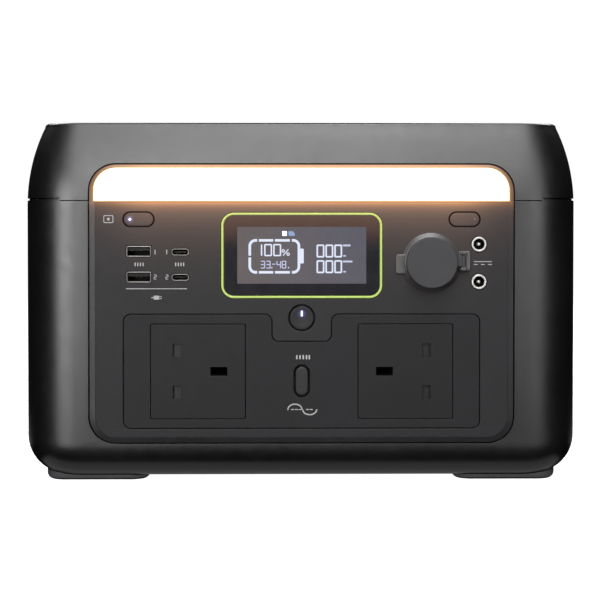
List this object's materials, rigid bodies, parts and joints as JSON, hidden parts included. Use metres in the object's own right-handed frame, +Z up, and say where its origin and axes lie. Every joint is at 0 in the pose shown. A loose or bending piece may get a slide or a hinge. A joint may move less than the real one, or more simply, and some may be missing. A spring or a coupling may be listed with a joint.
{
  "type": "portable power station",
  "caption": "Boxy portable battery power station with a lit bar, display, mains sockets, USB, DC and car outlets on its front, and a handle that folds over the top.",
  "frame": {"origin": "on the ground under the middle of the object", "axes": "+X to the right seen from the front, the front faces -Y, +Z up"},
  "size_m": [0.297, 0.222, 0.1918],
  "materials": {
    "case_black": "fine moulded texture",
    "panel_black": "fine satin",
    "trim_black": "smooth",
    "breaker_red": "smooth",
    "foot_rubber": "matte",
    "cap_rubber": "satin",
    "lamp_diffuser": "milky, lit warm white",
    "white_plastic": "satin",
    "lcd_grey": "lit liquid crystal display",
    "lime_ring": "satin",
    "display_black": "polished",
    "connector_steel": "plated",
    "contact_brass": "bright",
    "circuit_board": "solder mask",
    "cell_wrap": "shrink film",
    "coil_copper": "enamelled wire",
    "sink_aluminium": "extruded"
  },
  "bodies": {
    "station": {"front_case": "case_black", "rear_case": "case_black", "top_cover": "case_black", "handle_pin_left": "connector_steel", "handle_pin_right": "connector_steel", "foot_front_left": "foot_rubber", "foot_front_right": "foot_rubber", "foot_rear_left": "foot_rubber", "foot_rear_right": "foot_rubber", "front_panel": "panel_black", "ac_plate": "panel_black", "lamp_lens": "lamp_diffuser", "lamp_tray": "white_plastic", "lamp_led_strip": "white_plastic", "display_frame": "lime_ring", "display_window": "display_black", "lcd_module": "lcd_grey", "usb_a_port_upper": "connector_steel", "usb_a_port_lower": "connector_steel", "usb_c_port_upper": "connector_steel", "usb_c_port_lower": "connector_steel", "dc_jack_upper": "connector_steel", "dc_jack_lower": "connector_steel", "car_socket_barrel": "connector_steel", "car_socket_contact": "contact_brass", "car_socket_bezel": "trim_black", "socket_left": "panel_black", "socket_right": "panel_black", "control_board": "circuit_board", "ac_switch_board": "circuit_board", "battery_cell_1": "cell_wrap", "battery_cell_2": "cell_wrap", "battery_cell_3": "cell_wrap", "battery_cell_4": "cell_wrap", "battery_cell_5": "cell_wrap", "battery_cell_6": "cell_wrap", "battery_cell_7": "cell_wrap", "battery_cell_8": "cell_wrap", "battery_tray": "trim_black", "bms_board": "circuit_board", "inverter_board": "circuit_board", "inverter_transformer": "coil_copper", "heat_sink": "sink_aluminium", "fan_frame_left": "trim_black", "fan_frame_right": "trim_black", "inlet_tray": "trim_black", "ac_inlet": "trim_black", "dc_inlet": "trim_black"},
    "handle": {"carry_handle": "case_black"},
    "power_key": {"power_button": "panel_black"},
    "usb_key": {"usb_button": "panel_black"},
    "lamp_key": {"lamp_button": "panel_black"},
    "ac_key": {"ac_button": "panel_black"},
    "car_cap": {"car_socket_cap": "cap_rubber"},
    "shutter_left_body": {"shutter_left": "trim_black"},
    "shutter_right_body": {"shutter_right": "trim_black"},
    "rotor_left": {"fan_rotor_left": "trim_black"},
    "rotor_right": {"fan_rotor_right": "trim_black"},
    "breaker": {"breaker_button": "breaker_red"},
    "flap": {"input_flap": "foot_rubber"}
  },
  "joints": [
    {"name": "handle_fold", "type": "hinge", "parent": "station", "child": "handle", "pos_m": [0, 0.005, 0.1719], "axis": [-1, 0, 0], "range_deg": [0, 90]},
    {"name": "power_press", "type": "slide", "parent": "station", "child": "power_key", "axis": [0, 1, 0], "range_m": [0, 0.0012], "stiffness_N_per_m": 600, "springref_m": -0.0004},
    {"name": "usb_press", "type": "slide", "parent": "station", "child": "usb_key", "axis": [0, 1, 0], "range_m": [0, 0.0012], "stiffness_N_per_m": 600, "springref_m": -0.0004},
    {"name": "lamp_press", "type": "slide", "parent": "station", "child": "lamp_key", "axis": [0, 1, 0], "range_m": [0, 0.0012], "stiffness_N_per_m": 600, "springref_m": -0.0004},
    {"name": "ac_press", "type": "slide", "parent": "station", "child": "ac_key", "axis": [0, 1, 0], "range_m": [0, 0.0012], "stiffness_N_per_m": 600, "springref_m": -0.0004},
    {"name": "cap_swing", "type": "hinge", "parent": "station", "child": "car_cap", "pos_m": [0.0855, -0.1064, 0.11805], "axis": [0, 0, 1], "range_deg": [0, 110]},
    {"name": "shutter_left_slide", "type": "slide", "parent": "station", "child": "shutter_left_body", "axis": [-1, 0, 0], "range_m": [0, 0.006], "stiffness_N_per_m": 60, "springref_m": -0.002},
    {"name": "shutter_right_slide", "type": "slide", "parent": "station", "child": "shutter_right_body", "axis": [1, 0, 0], "range_m": [0, 0.006], "stiffness_N_per_m": 60, "springref_m": -0.002},
    {"name": "fan_left_spin", "type": "hinge", "parent": "station", "child": "rotor_left", "pos_m": [-0.137, 0.02, 0.105], "axis": [1, 0, 0], "continuous": true},
    {"name": "fan_right_spin", "type": "hinge", "parent": "station", "child": "rotor_right", "pos_m": [0.137, 0.02, 0.105], "axis": [1, 0, 0], "continuous": true},
    {"name": "breaker_press", "type": "slide", "parent": "station", "child": "breaker", "axis": [0, -1, 0], "range_m": [0, 0.0015], "stiffness_N_per_m": 800, "springref_m": -0.0004},
    {"name": "flap_swing", "type": "hinge", "parent": "station", "child": "flap", "pos_m": [0, 0.10955, 0.1149], "axis": [-1, 0, 0], "range_deg": [0, 100]}
  ]
}
